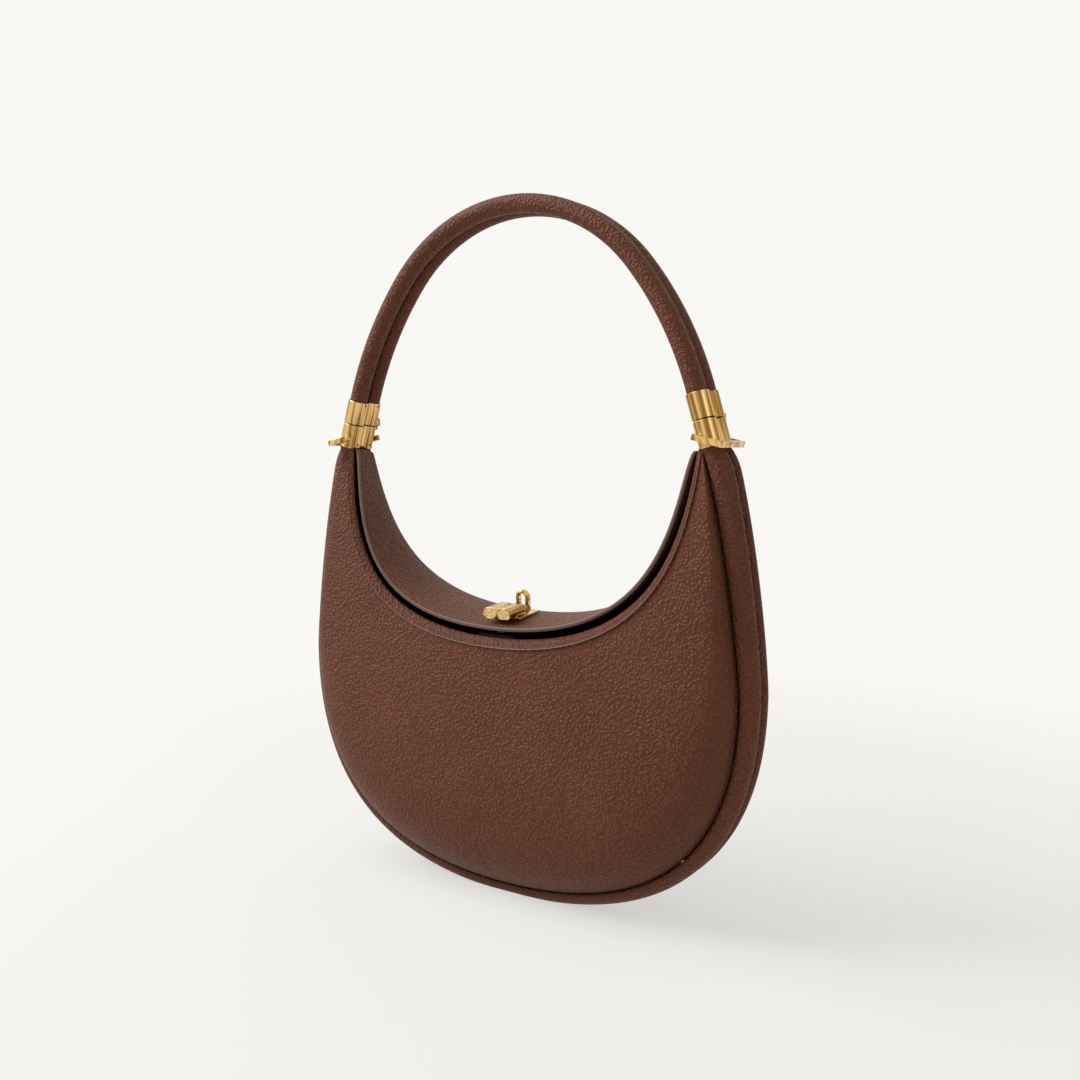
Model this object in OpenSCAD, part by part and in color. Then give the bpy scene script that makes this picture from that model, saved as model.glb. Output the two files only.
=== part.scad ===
// Crescent shoulder bag in padded leather with metal handle ends, strap rings and a lever clasp.
// X runs along the width, Y towards the back and Z up from the ground, in millimetres.

/* [Bag body] */
// Half the distance between the two handle ends
end_half_w = 122.3; // [115:0.1:128]
// Half width of the panels at the groove
belly_half_w = 141.2; // [138:0.1:146]
// Drop from the handle ends to the widest level
belly_drop = 128.4; // [108:0.1:137]
// Drop from the handle ends to the lowest point of the panels
panel_drop = 251.4; // [237:0.1:267]
// Drop from the handle ends to the front mouth seam
mouth_drop = 110.6; // [105:0.1:116]
// Height of the back edge of the mouth above the front seam
back_rise = 10.3; // [9:0.1:12.5]
// Half depth of the mouth in the middle
mouth_half_depth = 26; // [24:0.5:28]
// Half depth of the gusset at the bottom
gusset_half_depth = 12; // [11:0.5:14]
// Half depth of the leather at the handle ends
end_half_depth = 10.4; // [9.5:0.1:11]
// How far the padding swells each panel
panel_swell = 20; // [15:0.5:23]
// Thickness of a padded panel
panel_t = 3.2; // [2.4:0.1:4]
// Thickness of the lining
lining_t = 0.8; // [0.6:0.1:1.2]
// How far the gusset rolls stand out at the bottom
roll_out = 7.5; // [6.5:0.5:9]
// How far the gusset rolls stand out at the handle ends
roll_end_out = 11.5; // [10:0.25:12.5]
// How far the rolls draw in under the handle ends
roll_shoulder = 1.5; // [1:0.25:2.5]
// How far the seam between the rolls stands out
seam_out = 3; // [2:0.25:4]
// Depth to which the resting face of the rolls is flattened
rest_flat = 2; // [1.5:0.1:3]

/* [Facing and flap] */
// Height of the facing above the front seam
facing_h = 4.5; // [3.5:0.25:5.5]
// How far the facing leans inward
facing_in = 3; // [2.5:0.25:3.5]
// Thickness of the facing
facing_t = 1.4; // [1:0.1:1.8]
// Height of the flap's front edge above the front seam
flap_lift = 10.6; // [10:0.1:11.6]
// Distance of the flap's front edge behind the front seam
flap_setback = 2; // [1.5:0.25:3]
// Height of the flap's crown between its edges
flap_crown = 2.5; // [1.5:0.25:3]
// Thickness of the flap leather
flap_t = 2; // [1.6:0.1:2.4]
// Distance from the fold line to the moving leather
fold_back = 5; // [4:0.25:6]
// Least gap between the moving leather and the fixed strip
fold_gap = 1.4; // [1:0.1:2]

/* [Handle ends] */
// Lean of the handle ends towards the middle in degrees
lean = 16.5; // [15:0.5:18]
// Radius of each lobe of a handle end
lobe_r = 6.2; // [5.8:0.1:6.8]
// Half the distance between the two lobes
lobe_y = 5.7; // [5.5:0.05:6]
// Length of the end that is fixed to the bag
body_end_l = 14.4; // [13:0.2:17]
// Length of the end that is fixed to the handle
handle_end_l = 14; // [13:0.2:16]
// Gap between the two ends
end_gap = 0.6; // [0.5:0.05:0.9]
// Depth of the handle sockets
socket_d = 9; // [7:0.5:10]
// Depth of the neck socket
neck_d = 2.75; // [2:0.25:2.75]
// Metal wall round a socket
socket_wall = 0.8; // [0.6:0.05:1]
// Height of the bottom rim
rim_h = 1.2; // [0.8:0.1:1.6]
// How far the bottom rim stands out
rim_out = 0.4; // [0.3:0.05:0.5]
// Radius of the small screws
screw_r = 0.75; // [0.5:0.05:0.9]

/* [Handle] */
// Radius of each handle tube
tube_r = 5.3; // [5.1:0.05:5.35]
// Thickness of the tube leather
tube_t = 1.4; // [1:0.1:1.8]
// Radius of the long side curve of the handle
side_r = 197; // [185:1:210]
// Angle of the top curve each side of the middle in degrees
top_half_angle = 50.4; // [47:0.2:54]
// Half thickness of the seam strip between the tubes
handle_seam_half_t = 0.2; // [0.1:0.05:0.25]
// Radius of the hinge knuckles
knuckle_r = 1.5; // [1.4:0.1:1.8]
// Width of the middle knuckle
knuckle_w = 2.6; // [2.4:0.1:3]
// Width of each outer knuckle
side_knuckle_w = 1.5; // [1.4:0.1:1.8]
// Radius of the hinge pin
hinge_pin_r = 0.8; // [0.7:0.05:0.9]

/* [Strap rings] */
// Height of the ring pivot along the handle end
pivot_h = 4.4; // [4.2:0.1:5.4]
// Radius of the ring pin
ring_pin_r = 1; // [0.8:0.05:1.1]
// Thickness of the ring band
band_t = 1.8; // [1.5:0.1:2]
// Height of the ring band
band_h = 3.2; // [2.8:0.1:3.4]
// Reach of the ring outward of its pivot
ring_reach = 11; // [11:0.25:12.5]
// Length of the ring arms inward of the pivot
ring_tail = 6; // [5:0.25:6.5]
// Resting slope of the rings below level in degrees
ring_droop = 13.5; // [10:0.5:15]

/* [Clasp] */
// Width of the clasp plate
plate_w = 20; // [18:0.5:22]
// Distance of the plate from the flap's front edge
plate_from = 13; // [12:0.25:14]
// Length of the clasp plate
plate_l = 20; // [19:0.5:22]
// Thickness of the clasp plate
plate_t = 1.2; // [1:0.1:1.5]
// Distance of the latch pin behind the flap's front edge
pin_at = 23; // [22.5:0.25:23.5]
// Height of the latch pin above the plate
pin_h = 3; // [2.8:0.1:3.4]
// Radius of the latch pin
latch_pin_r = 1.1; // [0.9:0.05:1.2]
// Width of the latch knuckle
latch_knuckle_w = 6; // [5.5:0.1:6.4]
// Thickness of each ear
ear_t = 1.8; // [1.4:0.1:2]
// Radius of the pin heads
pin_head_r = 2.1; // [1.8:0.1:2.2]
// Height of the pin heads
pin_head_h = 1.2; // [1:0.1:1.4]
// Width of each barrel
barrel_w = 9.6; // [9.2:0.1:9.8]
// Height of each barrel
barrel_h = 6.3; // [5.8:0.1:6.5]
// Length of the barrels without their caps
barrel_l = 15.2; // [14:0.2:15.4]
// Thickness of the barrel caps
cap_t = 0.8; // [0.6:0.1:1]
// Distance of the arch behind the latch pin
arch_behind = 8; // [7.5:0.25:8.25]
// Height of the arch above the plate
arch_h = 11.5; // [9:0.25:12.5]
// Outside width of the arch
arch_w = 8; // [7:0.25:9]
// Thickness of the arch band
arch_t = 1.8; // [1.4:0.1:2]
// Depth of the arch band
arch_depth = 3.5; // [2.5:0.1:3.7]
// Radius of the magnets
magnet_r = 4; // [3:0.25:4.25]
// Thickness of the magnets
magnet_t = 1.5; // [1:0.1:1.5]
// Thickness of the closure tab
tab_t = 2.6; // [2.4:0.1:3]
// Width of the closure tab
tab_w = 24; // [20:0.5:28]
// Radius of the clasp rivets
rivet_r = 1; // [0.8:0.05:1.2]

/* [Hidden] */
$fn = 48;

// Clearance between neighbouring pieces
gap = 0.3;
// Running clearance round pins and plugs
fit = 0.1;
// Overrun of a cut
over = 1;
// Grid steps along half of the body, across a panel, across the flap and round a roll
half_n = 20;
panel_n = 7;
flap_n = 6;
roll_n = 8;
// Steps along the handle's side and top curves, and sides of its tubes
side_n = 7;
top_n = 18;
tube_sides = 10;

leather = "#5a3527";
suede = "#7d6250";
gold = "#d9b45a";
steel = "#9a9a9a";

// Shares that shape the outlines between their driving points
groove_start_share = [0.432, 0.954];
groove_end_share = [0.373, 0.9];
mouth_share = [-0.032, 0.406, 0.908];
belly_share = 0.45;
tip_share = 0.52;
tip_width_share = 0.14;
swell_shares = [1.6, 9];
swell_growth_share = 0.8;
lining_shares = [0.2, 0.1];
lift_share = 0.3;
lift_end_share = 1.5;
crown_peak_share = 0.385;
flap_start_share = 0.02;
facing_end_share = 0.5;
fold_end_share = 0.545;
slope_step_share = 0.01;

base_z = panel_drop + roll_out - rest_flat;
up = [-sin(lean), cos(lean)];
outward = [cos(lean), sin(lean)];
body_tip = [end_half_w, 0] - up * 2 * gap;
outer_tip = body_tip - outward * lobe_r * tip_share;
inner_tip = outer_tip - outward * lobe_r * tip_width_share;

function mix(a, b, f) = a + (b - a) * f;
function ease(s) = sin(90 * s);
function bezier(p, f) =
    pow(1 - f, 3) * p[0] + 3 * pow(1 - f, 2) * f * p[1]
    + 3 * (1 - f) * f * f * p[2] + pow(f, 3) * p[3];

// Outlines of the right half, from the handle end (s = 0) to the middle (s = 1)
groove_top = [
    outer_tip,
    outer_tip - up * belly_drop * groove_start_share[0],
    [belly_half_w, -belly_drop * groove_start_share[1]],
    [belly_half_w, -belly_drop]
];
groove_low = [
    [belly_half_w, -belly_drop],
    [belly_half_w, -mix(belly_drop, panel_drop, groove_end_share[0])],
    [belly_half_w * groove_end_share[1], -panel_drop],
    [0, -panel_drop]
];
function groove_half(s) =
    s < belly_share ? bezier(groove_top, s / belly_share)
    : bezier(groove_low, (s - belly_share) / (1 - belly_share));
function mouth_half(s, drop) =
    bezier([
        inner_tip,
        [inner_tip[0] * (1 + mouth_share[0]), -drop * mouth_share[1]],
        [inner_tip[0] * mouth_share[2], -drop],
        [0, -drop]
    ], s);

// A station t runs from -1 at the left end over 0 in the middle to 1 at the right end
function share(t) = 1 - abs(t);
function sided(t, p) = [t < 0 ? -p[0] : p[0], p[1]];
function groove(t) = sided(t, groove_half(share(t)));
function mouth(t, drop = mouth_drop) = sided(t, mouth_half(share(t), drop));
function unit(v) = v / norm(v);
function turned(d) = [d[1], -d[0]];
function clamp(t) = max(-1, min(1, t));
function groove_normal(t) =
    unit(turned(groove(clamp(t + slope_step_share)) - groove(clamp(t - slope_step_share))));
function mouth_normal(t) =
    unit(turned(mouth(clamp(t + slope_step_share)) - mouth(clamp(t - slope_step_share))));

function groove_y(t) = mix(end_half_depth, gusset_half_depth, ease(share(t)));
function mouth_y(t) =
    mix(end_half_depth - panel_t / 2, mouth_half_depth, ease(share(t)));
function panel_width(t, drop) = norm(groove(t) - mouth(t, drop));
function swell(t, drop) =
    panel_swell * pow(panel_width(t, drop) / panel_width(0, drop), swell_growth_share);
function panel_y(t, u, drop) =
    mix(mouth_y(t), groove_y(t), u)
    + swell(t, drop) * (1 - pow(1 - u, swell_shares[0])) * (1 - pow(u, swell_shares[1]));

function at3(p, y) = [p[0], y, max(p[1], -base_z)];
function stations(n, from = -1, to = 1) = [for (i = [0 : n]) mix(from, to, i / n)];

// Closed sheet between two grids of points; the first lies on the side of rows x columns
module slab(upper, lower) {
    rows = len(upper);
    cols = len(upper[0]);
    count = rows * cols;
    function at(r, c) = r * cols + c;
    points = concat([for (row = upper) each row], [for (row = lower) each row]);
    top = [for (r = [0 : rows - 2], c = [0 : cols - 2]) each [
        [at(r, c), at(r, c + 1), at(r + 1, c + 1)],
        [at(r, c), at(r + 1, c + 1), at(r + 1, c)]]];
    bottom = [for (f = top) [f[2] + count, f[1] + count, f[0] + count]];
    rim = concat(
        [for (r = [0 : 1 : rows - 2]) at(r, 0)],
        [for (c = [0 : 1 : cols - 2]) at(rows - 1, c)],
        [for (r = [rows - 1 : -1 : 1]) at(r, cols - 1)],
        [for (c = [cols - 1 : -1 : 1]) at(0, c)]);
    walls = [for (i = [0 : len(rim) - 1]) let (a = rim[i], b = rim[(i + 1) % len(rim)]) each [
        [a, b, b + count],
        [a, b + count, a + count]]];
    polyhedron(points, concat(top, bottom, walls));
}

// Closed skin over a row of loops
module loft(rings) {
    rows = len(rings);
    cols = len(rings[0]);
    function at(r, c) = r * cols + c % cols;
    skin = [for (r = [0 : rows - 2], c = [0 : cols - 1]) each [
        [at(r, c), at(r + 1, c), at(r + 1, c + 1)],
        [at(r, c), at(r + 1, c + 1), at(r, c + 1)]]];
    caps = [[for (c = [0 : cols - 1]) c], [for (c = [cols - 1 : -1 : 0]) at(rows - 1, c)]];
    polyhedron([for (ring = rings) each ring], concat(skin, caps));
}

module raised() translate([0, 0, base_z]) children();

// One half of the body, front (-1) or back (1): a sheet between two depths below its outer face
module panel_sheet(side, drop, depth, t, ends, trim) {
    function node_at(k, i, d) = let (u = ease(i / panel_n))
        at3(mix(mouth(k, drop), groove(k), u), side * (panel_y(k, u, drop) - d));
    function grid(d) = [for (s = stations(2 * half_n)) let (k = max(-ends, min(ends, s))) concat(
        [mix(node_at(k, 0, d), node_at(k, 1, d), trim[0])],
        [for (i = [1 : panel_n - 1]) node_at(k, i, d)],
        [mix(node_at(k, panel_n, d), node_at(k, panel_n - 1, d), trim[1])])];
    if (side > 0) slab(grid(depth), grid(depth + t));
    else slab(grid(depth + t), grid(depth));
}

module front_panel() color(leather) raised()
    panel_sheet(-1, mouth_drop, 0, panel_t, 1, [0, 0]);
module back_panel() color(leather) raised()
    panel_sheet(1, mouth_drop - back_rise, 0, panel_t, 1, [0, 0]);
lining_depth = panel_t + 2 * gap;
module front_lining() color(suede) raised()
    panel_sheet(-1, mouth_drop, lining_depth, lining_t, 1 - slope_step_share, lining_shares);
module back_lining() color(suede) raised()
    panel_sheet(1, mouth_drop - back_rise, lining_depth, lining_t, 1 - slope_step_share,
        lining_shares);

// A padded roll of the gusset, front (-1) or back (1)
function roll_bulge(t) = mix(roll_end_out, roll_out, ease(share(t)))
    - (abs(t) == 1 ? roll_shoulder : 0);
function seam_rise(t) = roll_bulge(t) * seam_out / roll_out;
seam_half_t = 2 * gap;
module gusset_roll(side) {
    function section(t) = let (
        g = groove_y(t),
        seam = seam_half_t + gap / 2,
        dip = seam_rise(t),
        bulge = roll_bulge(t) - dip / 2,
        outer = [for (i = [0 : roll_n]) let (a = 180 * i / roll_n)
            [gap + bulge * sin(a) + dip * (1 - cos(a)) / 2, -mix(g, seam, (1 - cos(a)) / 2)]],
        loop = concat(outer, [[gap, -seam]]))
        side < 0 ? loop : [for (i = [len(loop) - 1 : -1 : 0]) [loop[i][0], -loop[i][1]]];
    raised() loft([for (t = stations(2 * half_n)) [for (q = section(t))
        at3(groove(t) + groove_normal(t) * q[0], q[1])]]);
}
module front_gusset_roll() color(leather) gusset_roll(-1);
module back_gusset_roll() color(leather) gusset_roll(1);

// Sheet that follows the groove between two distances outward of it
module groove_strip(inner, outer, half_y, ends = 1) {
    function grid(level) = [for (t = stations(2 * half_n, -ends, ends)) [for (side = [-1, 1])
        at3(groove(t) + groove_normal(t) * (level < 0 ? inner : outer * seam_rise(t) / seam_out),
            side * half_y(t))]];
    raised() slab(grid(-1), grid(1));
}
module gusset_seam() color(leather)
    groove_strip(gap, seam_out, function(t) seam_half_t);
module gusset_lining() color(suede)
    groove_strip(-gap - lining_t, -gap,
        function(t) groove_y(t) - panel_t - lining_t - 3 * gap, 1 - slope_step_share);

module front_facing() {
    ends = 1 - flap_start_share;
    function height(t) = facing_h * mix(facing_end_share, 1, ease(share(t)));
    function grid(d) = [for (t = stations(2 * half_n, -ends, ends)) [for (f = [1, 0])
        at3(mouth(t) - mouth_normal(t) * mix(gap, height(t), f),
            -(mouth_y(t) - facing_in * f * ease(share(t)) - d))]];
    color(leather) raised() slab(grid(facing_t), grid(0));
}

// Flap surface: v runs from the front edge (0) to the back edge (1), d is the depth below it
back_drop = mouth_drop - back_rise;
function lift(t) =
    mix(flap_t * lift_end_share + 2 * gap, flap_lift, pow(ease(share(t)), lift_share));
function setback(t) = mix(2 * gap, flap_setback, ease(share(t)));
function crown(t, v) = flap_crown * ease(share(t)) * v * (1 - v * v) / crown_peak_share;
function flap_front_y(t) = -(mouth_y(t) - setback(t));
function flap_back_y(t) = mouth_y(t);
function flap_top(t, v) = mix(
    mouth(t) - mouth_normal(t) * lift(t),
    mouth(t, back_drop) - mouth_normal(t) * (flap_t + lining_t + gap),
    v);
function flap_point(t, v, d) =
    at3(flap_top(t, v) + mouth_normal(t) * (d - crown(t, v)),
        mix(flap_front_y(t), flap_back_y(t), v));
flap_depth = flap_t + gap / 2 + lining_t;
fold_y = flap_back_y(0);
fold_z = flap_top(0, 1)[1];
function rise(t) = max(0, flap_top(t, 1)[1] - fold_z);
function fold_space(t) =
    let (h = rise(t)) fold_gap + max(0, flap_depth * h / (h + fold_back));
function split_y(t, space) = fold_y - rise(t) - fold_back + space;
function split_v(t, space) =
    min(1, (split_y(t, space) - flap_front_y(t)) / (flap_back_y(t) - flap_front_y(t)));

// The moving flap spans the middle; the strip behind it and the two horns stay with the bag
flap_end = 1 - fold_end_share;
module flap_sheet(depth, t) {
    function grid(d) = [for (k = stations(half_n, -flap_end, flap_end)) [
        for (i = [0 : flap_n]) flap_point(k, split_v(k, 0) * i / flap_n, d)]];
    raised() slab(grid(depth), grid(depth + t));
}
module flap_root() {
    ends = 1 - flap_start_share;
    horn = flap_end + 2 * slope_step_share;
    horn_n = floor(half_n / 2);
    stops = concat(
        stations(horn_n, -ends, -horn - slope_step_share),
        stations(half_n, -horn, horn),
        stations(horn_n, horn + slope_step_share, ends));
    function front_v(k) = abs(k) > horn ? 0 : split_v(k, fold_space(k));
    function grid(d) = [for (k = stops) [
        for (i = [0 : flap_n]) flap_point(k, mix(front_v(k), 1, i / flap_n), d)]];
    color(leather) raised() slab(grid(0), grid(flap_t));
}

// Frame of the clasp: Y back along the chord of the flap under the plate, from its front edge
flap_run = flap_back_y(0) - flap_front_y(0);
plate_v = [plate_from, plate_from + plate_l] / flap_run;
function flap_z(v) = flap_point(0, v, 0)[2];
plate_rise = (flap_z(plate_v[1]) - flap_z(plate_v[0])) / plate_l;
flap_slope = atan(plate_rise);
flap_origin_z = flap_z(plate_v[0]) - plate_rise * plate_from;
function bulge(v) = flap_z(v) - mix(flap_z(plate_v[0]), flap_z(plate_v[1]), share_between(v));
function share_between(v) = (v - plate_v[0]) / (plate_v[1] - plate_v[0]);
module on_flap() raised() translate([0, flap_front_y(0), flap_origin_z])
    rotate([flap_slope, 0, 0]) children();
plate_z = 2 * gap + bulge((plate_v[0] + plate_v[1]) / 2);
deck = plate_z + plate_t;
pin_z = deck + pin_h;
rivet_head_r = rivet_r * 2;
rivet_shares = [0.13, 0.33];
rivet_at = [for (s = rivet_shares) plate_from + plate_l * s];
under_flap = -flap_depth - 2 * gap;
backing_t = lining_t;
backing_from = rivet_at[0] - rivet_head_r;
backing_l = rivet_at[1] - rivet_at[0] + 2 * rivet_head_r;
magnet_at = backing_from - magnet_r - gap;
magnet_top = under_flap - gap;
module rivet_bores(r) for (a = rivet_at)
    translate([0, a, under_flap - backing_t - over]) cylinder(r = r, h = pin_z + arch_h);

module flap() color(leather) difference() {
    flap_sheet(0, flap_t);
    on_flap() rivet_bores(rivet_r + fit);
}
module flap_lining() color(suede) difference() {
    flap_sheet(flap_t + gap / 2, lining_t);
    on_flap() rivet_bores(rivet_r + fit);
}
module flap_magnet() color(steel) on_flap()
    translate([0, magnet_at, magnet_top - magnet_t]) cylinder(r = magnet_r, h = magnet_t);
module clasp_backing() color(steel) on_flap() difference() {
    translate([-plate_w / 4, backing_from, under_flap - backing_t])
        cube([plate_w / 2, backing_l, backing_t]);
    rivet_bores(rivet_r + fit);
}
module clasp_rivets() color(gold) on_flap() for (a = rivet_at)
    translate([0, a, under_flap - backing_t]) cylinder(r = rivet_r, h = deck - under_flap + backing_t);

tab_top = magnet_top - magnet_t - 2 * gap;
tab_front_y = -(mouth_half_depth - facing_in - facing_t) + gap;
tab_from = (tab_front_y - flap_front_y(0) + tab_top * sin(flap_slope)) / cos(flap_slope);
module closure_tab() color(leather) on_flap() difference() {
    translate([-tab_w / 2, tab_from, tab_top - tab_t])
        cube([tab_w, magnet_at + magnet_r + magnet_t - tab_from, tab_t]);
    translate([0, magnet_at, tab_top - magnet_t - fit])
        cylinder(r = magnet_r + fit, h = magnet_t + over);
}
module tab_magnet() color(steel) on_flap()
    translate([0, magnet_at, tab_top - magnet_t]) cylinder(r = magnet_r, h = magnet_t);

ear_x = latch_knuckle_w / 2 + gap;
ear_r = pin_head_r;
module ear() rotate([90, 0, 90]) linear_extrude(ear_t) union() {
    translate([pin_at, pin_z]) circle(r = ear_r);
    translate([pin_at - ear_r, deck - plate_t / 2]) square([2 * ear_r, pin_h + plate_t / 2]);
}
module clasp_plate() color(gold) on_flap() difference() {
    union() {
        translate([-plate_w / 2, plate_from, plate_z]) cube([plate_w, plate_l, plate_t]);
        translate([ear_x, 0, 0]) ear();
        translate([-ear_x - ear_t, 0, 0]) ear();
    }
    translate([-plate_w, pin_at, pin_z]) rotate([0, 90, 0])
        cylinder(r = latch_pin_r + fit, h = 2 * plate_w);
    rivet_bores(rivet_r + fit);
}
module clasp_arch() color(gold) on_flap()
    translate([0, pin_at + arch_behind + arch_depth / 2, deck]) rotate([90, 0, 0])
        linear_extrude(arch_depth) difference() {
            arch_outline(arch_w, arch_h);
            translate([0, -over]) arch_outline(arch_w - 2 * arch_t, arch_h - arch_t + over);
        }
module arch_outline(w, h) union() {
    translate([0, h - w / 2]) circle(d = w);
    translate([-w / 2, 0]) square([w, h - w / 2]);
}
pin_half_l = ear_x + ear_t;
module latch_pin() color(gold) on_flap() translate([0, pin_at, pin_z]) rotate([0, 90, 0]) {
    translate([0, 0, -pin_half_l - fit]) cylinder(r = latch_pin_r, h = 2 * (pin_half_l + fit));
    for (side = [-1, 1]) scale([1, 1, side])
        translate([0, 0, pin_half_l + fit]) cylinder(r = pin_head_r, h = pin_head_h);
}

// Lever: two flattened barrels side by side, joined to a knuckle on the pin
arm_share = 1.5;
barrel_back = pin_at - pin_head_r - 2 * gap - cap_t;
barrel_front = barrel_back - barrel_l;
barrel_z = deck + gap + barrel_h / 2;
module stadium(w, h) union() {
    square([w - h, h], center = true);
    for (side = [-1, 1]) translate([side * (w - h) / 2, 0]) circle(d = h);
}
module barrel_pair(at, l, inset) for (side = [-1, 1])
    translate([side * (barrel_w - gap) / 2, at + l, barrel_z]) rotate([90, 0, 0])
        linear_extrude(l) stadium(barrel_w - 2 * inset, barrel_h - 2 * inset);
module latch() color(gold) on_flap() difference() {
    union() {
        barrel_pair(barrel_front, barrel_l, 0);
        translate([-latch_knuckle_w / 2, pin_at, pin_z]) rotate([0, 90, 0])
            cylinder(r = pin_head_r, h = latch_knuckle_w);
        translate([-latch_knuckle_w / 2, barrel_back - over, pin_z - pin_head_r / 2])
            cube([latch_knuckle_w, pin_at - barrel_back + over, arm_share * pin_head_r]);
    }
    translate([-latch_knuckle_w, pin_at, pin_z]) rotate([0, 90, 0])
        cylinder(r = latch_pin_r + fit, h = 2 * latch_knuckle_w);
}
module latch_end_caps() color(gold) on_flap() barrel_pair(barrel_front - cap_t, cap_t, fit);

// Handle ends, drawn for the right side in their own leaning frame
module leaning() raised() translate([end_half_w, 0, 0]) rotate([0, -lean, 0]) children();
module pair_profile(r, web_half) union() {
    for (side = [-1, 1]) translate([0, side * lobe_y]) circle(r = r);
    square([2 * web_half, 2 * lobe_y], center = true);
}
module mirrored(side) mirror([side < 0 ? 1 : 0, 0, 0]) children();
web_share = 0.56;
web_half = lobe_r * web_share;
end_l = body_end_l + end_gap + handle_end_l;
split_at = body_end_l + end_gap / 2;
socket_r = lobe_r - socket_wall;
hinge_x = end_half_w - split_at * sin(lean);
hinge_z = split_at * cos(lean);
hinge_y = lobe_y + lobe_r + knuckle_r + gap;
hinge_bore_r = hinge_pin_r + fit;
module hinge_block(from, w, side) {
    rise_z = knuckle_r / 2;
    translate([hinge_x + from, hinge_y, hinge_z]) rotate([0, 90, 0])
        cylinder(r = knuckle_r, h = w);
    translate([hinge_x + from, lobe_y + lobe_r / 2,
            side > 0 ? hinge_z + rise_z : hinge_z - rise_z - 2 * knuckle_r])
        cube([w, hinge_y - lobe_y - lobe_r / 2, 2 * knuckle_r]);
}
module hinge_bore() translate([hinge_x - lobe_r, hinge_y, hinge_z]) rotate([0, 90, 0])
    cylinder(r = hinge_bore_r, h = 2 * lobe_r);
screw_depth_share = 0.8;
screw_d = socket_wall * screw_depth_share;
module screw_set(at, r, d) for (side = [-1, 1])
    translate([-lobe_r - over, side * lobe_y, at]) rotate([0, 90, 0])
        cylinder(r = r, h = over + d);
body_screw_at = rim_h + screw_r * 2;
handle_screw_at = end_l - screw_r * 2;

module body_ferrule() difference() {
    union() {
        leaning() linear_extrude(body_end_l) pair_profile(lobe_r, web_half);
        leaning() linear_extrude(rim_h) pair_profile(lobe_r + rim_out, web_half + rim_out);
        raised() hinge_block(-knuckle_w / 2, knuckle_w, -1);
    }
    leaning() translate([0, 0, -over]) linear_extrude(neck_d + over)
        pair_profile(socket_r, web_half - socket_wall);
    leaning() translate([0, -2 * lobe_r - lobe_y, pivot_h]) rotate([-90, 0, 0])
        cylinder(r = ring_pin_r + fit, h = 4 * lobe_r + 2 * lobe_y);
    leaning() screw_set(body_screw_at, screw_r + fit, screw_d);
    raised() hinge_bore();
}
module handle_ferrule() difference() {
    union() {
        leaning() translate([0, 0, body_end_l + end_gap]) linear_extrude(handle_end_l)
            pair_profile(lobe_r, web_half);
        raised() hinge_block(knuckle_w / 2 + gap, side_knuckle_w, 1);
        raised() hinge_block(-knuckle_w / 2 - gap - side_knuckle_w, side_knuckle_w, 1);
    }
    leaning() for (side = [-1, 1]) translate([0, side * lobe_y, end_l - socket_d])
        cylinder(r = socket_r, h = socket_d + over);
    leaning() screw_set(handle_screw_at, screw_r + fit, screw_d);
    raised() hinge_bore();
}
module left_body_ferrule() color(gold) mirrored(-1) body_ferrule();
module right_body_ferrule() color(gold) mirrored(1) body_ferrule();
module left_handle_ferrule() color(gold) mirrored(-1) handle_ferrule();
module right_handle_ferrule() color(gold) mirrored(1) handle_ferrule();

module screw_heads(at) for (end = [-1, 1]) mirrored(end) leaning() for (side = [-1, 1])
    translate([-lobe_r + fit, side * lobe_y, at]) rotate([0, 90, 0])
        cylinder(r = screw_r, h = screw_d - 2 * fit);
module body_ferrule_screws() color(steel) screw_heads(body_screw_at);
module handle_ferrule_screws() color(steel) screw_heads(handle_screw_at);

module neck_core() leaning() translate([0, 0, -gap]) linear_extrude(neck_d)
    pair_profile(socket_r - fit, web_half - socket_wall - fit);
module left_neck_core() color(leather) mirrored(-1) neck_core();
module right_neck_core() color(leather) mirrored(1) neck_core();

module hinge_pin() raised()
    translate([hinge_x - knuckle_w / 2 - gap - side_knuckle_w, hinge_y, hinge_z])
        rotate([0, 90, 0])
            cylinder(r = hinge_pin_r, h = knuckle_w + 2 * (gap + side_knuckle_w));
module left_hinge_pin() color(gold) mirrored(-1) hinge_pin();
module right_hinge_pin() color(gold) mirrored(1) hinge_pin();

// Strap ring: a flat band bent round three sides, hung on a pin through the handle end
arm_y = lobe_y + lobe_r + rim_out + gap;
pivot_x = end_half_w - pivot_h * sin(lean);
pivot_z = pivot_h * cos(lean);
module at_pivot() raised() translate([pivot_x, 0, pivot_z]) children();
module ring_pin() at_pivot() translate([0, -arm_y - band_t, 0]) rotate([-90, 0, 0])
    cylinder(r = ring_pin_r, h = 2 * (arm_y + band_t));
module strap_ring() at_pivot() rotate([0, ring_droop, 0]) difference() {
    union() {
        for (side = [-1, 1]) translate([-ring_tail, side * (arm_y + band_t / 2) - band_t / 2,
                -band_h / 2])
            cube([ring_tail + ring_reach, band_t, band_h]);
        translate([ring_reach - band_t, -arm_y - band_t, -band_h / 2])
            cube([band_t, 2 * (arm_y + band_t), band_h]);
    }
    translate([0, -arm_y - 2 * band_t, 0]) rotate([-90, 0, 0])
        cylinder(r = ring_pin_r + fit, h = 2 * (arm_y + 2 * band_t));
}
module left_ring_pin() color(gold) mirrored(-1) ring_pin();
module right_ring_pin() color(gold) mirrored(1) ring_pin();
module left_strap_ring() color(gold) mirrored(-1) strap_ring();
module right_strap_ring() color(gold) mirrored(1) strap_ring();

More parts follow.
